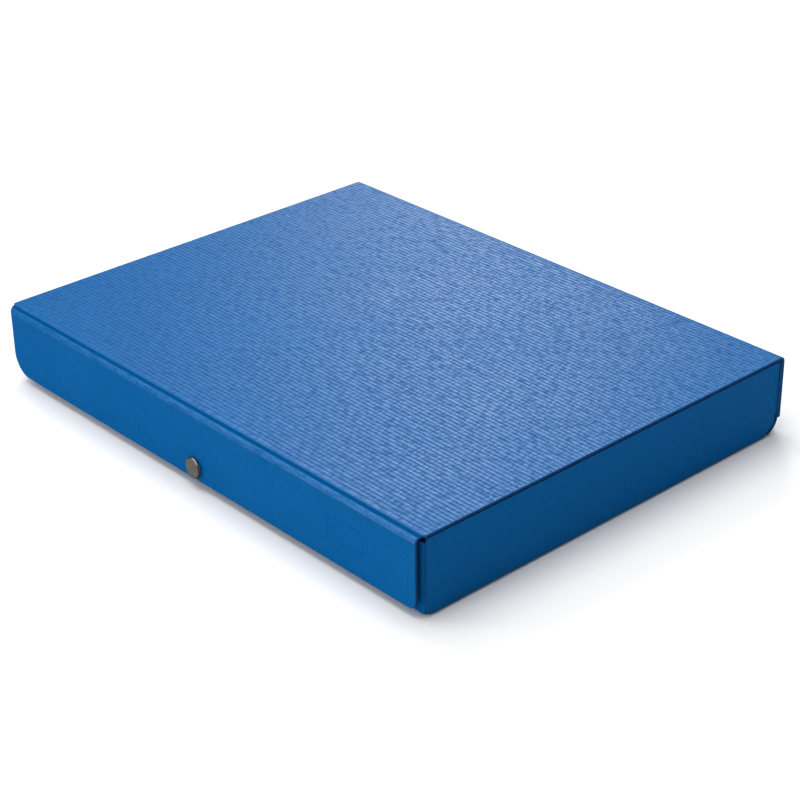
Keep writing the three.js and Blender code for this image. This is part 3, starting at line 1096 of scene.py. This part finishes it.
def makeBackCorners():
    for side, label in ((-1, "back_left"), (1, "back_right")):
        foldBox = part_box(f"{label}_corner_crease")
        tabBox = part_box(f"{label}_tab")
        foldStart = foldBox[1].y - uprightFold
        lead = baseRun["from"] + foldStart - wallLow.y - frontFold
        if side > 0:
            tabLength = foldBox[1].x - uprightFold - tabBox[0].x
            runs = [quarter(uprightFold), straight(tabLength)]
            path = layPath((foldBox[1].x, foldStart), rightAngle, runs)
            foldRun, tabRun = path
        else:
            tabLength = tabBox[1].x - foldBox[0].x - uprightFold
            runs = [straight(tabLength), quarter(uprightFold)]
            path = layPath((tabBox[1].x, foldBox[1].y), math.pi, runs)
            tabRun, foldRun = path
            lead += foldRun["to"]

        def blank(s, t, side=side, lead=lead):
            return side * (tabs["backPattern"] + s), lead + side * t

        heights = (foldBox[0].z, foldBox[1].z, tabBox[0].z, tabBox[1].z)
        makeCorner(label, path, foldRun, tabRun, blank, heights, ribStep, board["stepAlongRibs"])


# The three folds that open. The bend's ends are worked out between the two corners of the fold, half a
# board in from its faces, but the fold is only fixed where it stands.
def makeFold(name, node, bend, bodies, limits):
    low, high = limits(np.array([bend["from"], bend["to"]]))
    along = np.linspace(bend["from"], bend["to"], 2 * board["stepsPerFold"] + 1)
    piece = columnSheet(name, acrossStops(low.min(), high.max()), along, limits=limits,
                        joined=("start", "end"))
    first, last = pathPoints(column, [bend["from"], bend["to"]], 0.0)
    inward = (bend["along"] - bend["outward"]) * thickness / 2
    start, end = (0, *(first + inward)), (0, *(last - inward))
    finishBoard(piece, [node], between=(bodies, start, end))


def steadyLimits(node):
    low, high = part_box(node)
    return lambda t: (np.full_like(t, low.x), np.full_like(t, high.x))


# The flap's fold narrows from the lid's width to the flap's
def flapFoldLimits(t):
    share = eased(np.clip((t - flapBend["from"]) / (flapBend["to"] - flapBend["from"]), 0, 1))
    low = lidLow.x + lid["frontCorner"]
    high = lidHigh.x - lid["frontCorner"]
    return low + share * (flapLow.x - low), high + share * (flapHigh.x - high)


makeLid()
makeFlap()
makeSpine()
makeBase()
makeFrontWall()
makeSide("left", [leftRun, slackBend], startAtBase=False)
makeSide("right", [tightBend, rightRun], startAtBase=True)
makeFrontCorners()
makeBackCorners()
makeFold("base_spine_fold", "base_spine_crease", spineBend, ("tray", "spine"),
         steadyLimits("base_spine_crease"))
makeFold("spine_lid_fold", "spine_lid_crease", lidBend, ("spine", "lid"),
         steadyLimits("spine_lid_crease"))
makeFold("lid_flap_fold", "lid_flap_crease", flapBend, ("lid", "flap"), flapFoldLimits)
print("board folded")


turning = {
    "steps": 96,
    "softSteps": 4,
    "softShare": 0.45,  # most of a straight length that rounding a corner may use
    "sharpAngle": 40,
    "tiny": 1e-7,  # a radius under this is a point on the axis
}


# A profile with each corner replaced by a short arc
def softened(profile, radius):
    points = [np.array(point, float) for point in profile]
    out = [points[0]]
    for before, corner, after in zip(points, points[1:], points[2:]):
        back, ahead = before - corner, after - corner
        most = [turning["softShare"] * np.linalg.norm(way) for way in (back, ahead)]
        reach = min(radius, *most)
        first = corner + back / np.linalg.norm(back) * reach
        last = corner + ahead / np.linalg.norm(ahead) * reach
        for step in range(turning["softSteps"] + 1):
            share = step / turning["softSteps"]
            out.append((1 - share) ** 2 * first + 2 * share * (1 - share) * corner + share ** 2 * last)
    out.append(points[-1])
    return out


# Turns a profile of (radius, y) pairs about the stud's axis. A rim is a second finish and where it starts.
def turnedPiece(name, profile, finish, body, rim=None):
    steps, tiny = turning["steps"], turning["tiny"]
    points, rings = [], []
    for radius, y in profile:
        if radius < tiny:
            rings.append([len(points)] * steps)
            points.append((0, y, studHeight))
            continue
        rings.append(list(range(len(points), len(points) + steps)))
        points += [aboutStud(radius, y, fullTurn * step / steps) for step in range(steps)]
    faces = []
    closed = rings if profile[0][0] < tiny else rings + rings[:1]
    for ring, following in zip(closed, closed[1:]):
        for step in range(steps):
            beyond = (step + 1) % steps
            face = [ring[step], following[step], following[beyond], ring[beyond]]
            faces.append(list(dict.fromkeys(face)))
    mesh = bpy.data.meshes.new(name)
    mesh.from_pydata(points, [], faces)
    mesh.materials.append(finish)
    if rim:
        rimFinish, rimStart = rim
        mesh.materials.append(rimFinish)
        centres = [part.center for part in mesh.polygons]
        onRim = [math.hypot(spot.x, spot.z - studHeight) > rimStart for spot in centres]
        mesh.polygons.foreach_set("material_index", [int(beyond) for beyond in onRim])
    finishMetal(name, mesh, body, turning["sharpAngle"])


def finishMetal(name, mesh, body, sharpAngle):
    mesh.polygons.foreach_set("use_smooth", [True] * len(mesh.polygons))
    mesh.set_sharp_from_angle(angle=math.radians(sharpAngle))
    piece = addObject(name, mesh)
    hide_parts("stud_" + name)
    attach(piece, body)


cap = {
    "dish": ((0, 0.12 * mm), (1.6 * mm, 0.11 * mm), (3.2 * mm, 0.07 * mm)),  # radius and depth
    "dishEdge": (0.5 * mm, 0.01 * mm),  # in from the shoulder, and depth
    "edge": 0.55 * mm,  # rounding of the rim
    "edgeSteps": 8,
    "backBevel": 0.35 * mm,
    "offFlap": 0.05 * mm,
    "post": 1.9 * mm,
    "rivet": 2.8 * mm,
    "rivetHead": 0.2 * mm,
    "softness": 0.1 * mm,
    "rimStart": 0.15 * mm,  # past the shoulder
}


def makeCap(choices):
    rim, face, head = capHigh.x, capLow.y, capHigh.y
    back = flapLow.y - choices["offFlap"]
    post, rivet, edge, bevel = (choices[part] for part in ("post", "rivet", "edge", "backBevel"))
    shoulder = rim - edge
    inward, depth = choices["dishEdge"]
    profile = [(radius, face + sunk) for radius, sunk in choices["dish"]]
    profile.append((shoulder - inward, face + depth))
    for step in range(choices["edgeSteps"] + 1):
        turn = rightAngle * step / choices["edgeSteps"]
        profile.append((shoulder + edge * math.sin(turn), face + edge * (1 - math.cos(turn))))
    profile += softened([
        (rim, face + edge),
        (rim, back - bevel),
        (rim - bevel, back),
        (post, back),
        (post, head - choices["rivetHead"]),
        (rivet, head - choices["rivetHead"]),
        (rivet, head),
        (0, head),
    ], choices["softness"])[1:]
    turnedPiece("cap", profile, metalFinishes["dark satin cap"], "flap",
                rim=(metalFinishes["burnished cap rim"], shoulder + choices["rimStart"]))


socket = {"sheet": 0.3 * mm, "hole": 2.1 * mm, "mouth": 3.5 * mm, "softness": 0.14 * mm}


def makeSocket(choices):
    low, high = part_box("stud_socket")
    rim, back, front = high.x, low.y, high.y
    sheet, bore, mouth = choices["sheet"], choices["hole"], choices["mouth"]
    profile = softened([
        (bore, back + sheet / 2),
        (bore, back),
        (rim, back),
        (rim, front),
        (mouth, front),
        (mouth, front - sheet),
        (rim - sheet, front - sheet),
        (rim - sheet, back + sheet),
        (bore, back + sheet),
        (bore, back + sheet / 2),
    ], choices["softness"])
    turnedPiece("socket", profile[:-1], metalFinishes["nickel plate"], "flap")


nub = {
    "top": 3.2 * mm,
    "topBevel": (0.6 * mm, 0.5 * mm),
    "neck": 2.9 * mm,
    "neckDepth": 1.1 * mm,
    "bore": 2.3 * mm,
    "crown": 0.4 * mm,  # thickness of the closed front
    "sheet": 0.35 * mm,
    "softness": 0.25 * mm,
}


def makeNub(choices):
    low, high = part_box("stud_nub")
    rim, front, back = high.x, low.y, high.y
    top, neck, bore, sheet = (choices[part] for part in ("top", "neck", "bore", "sheet"))
    bevelIn, bevelBack = choices["topBevel"]
    crown = front + choices["crown"]
    profile = softened([
        (0, front),
        (top - bevelIn, front),
        (top, front + bevelBack),
        (neck, front + choices["neckDepth"]),
        (neck, back - sheet),
        (rim, back - sheet),
        (rim, back),
        (bore, back),
        (bore, crown),
        (0, crown),
    ], choices["softness"])
    turnedPiece("nub", profile, metalFinishes["nickel plate"], "tray")


eyelet = {
    "bore": 1.3 * mm,
    "tube": 1.9 * mm,
    "flange": 0.4 * mm,
    "flangeBevel": (0.1 * mm, 0.15 * mm),
    "flangeFlat": 0.6 * mm,
    "softness": 0.2 * mm,
}


def makeEyelet(choices):
    low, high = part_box("stud_eyelet")
    rim, front, back = high.x, low.y, high.y
    bore, tube, flange = (choices[part] for part in ("bore", "tube", "flange"))
    bevelIn, bevelBack = choices["flangeBevel"]
    middle = (front + back) / 2
    profile = softened([
        (bore, middle),
        (bore, front),
        (tube, front),
        (tube, back - flange),
        (rim, back - flange),
        (rim - bevelIn, back - bevelBack),
        (rim - choices["flangeFlat"], back),
        (bore, back),
        (bore, middle),
    ], choices["softness"])
    turnedPiece("eyelet", profile[:-1], metalFinishes["nickel plate"], "tray")


spring = {"turns": 0.9, "steps": 72, "wireSteps": 4, "sharpAngle": 50}


# A split ring of wire that grips the nub
def makeSpring(choices):
    low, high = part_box("stud_spring")
    wire = (high.y - low.y) / 2
    ringRadius = high.x - wire
    centreY = (low.y + high.y) / 2
    curve = bpy.data.curves.new("spring", "CURVE")
    curve.dimensions = "3D"
    curve.bevel_depth = wire
    curve.bevel_resolution = choices["wireSteps"]
    curve.use_fill_caps = True
    count = choices["steps"]
    spline = curve.splines.new("POLY")
    spline.points.add(count)
    for step in range(count + 1):
        angle = choices["turns"] * fullTurn * step / count
        spline.points[step].co = (*aboutStud(ringRadius, centreY, angle), 1)
    holder = addObject("spring curve", curve)
    bpy.context.view_layer.update()
    mesh = bpy.data.meshes.new_from_object(holder.evaluated_get(bpy.context.evaluated_depsgraph_get()))
    bpy.data.objects.remove(holder)
    mesh.name = "spring"
    mesh.materials.clear()
    mesh.materials.append(metalFinishes["spring wire"])
    finishMetal("spring", mesh, "flap", choices["sharpAngle"])


makeCap(cap)
makeSocket(socket)
makeSpring(spring)
makeNub(nub)
makeEyelet(eyelet)
print("press stud fitted")
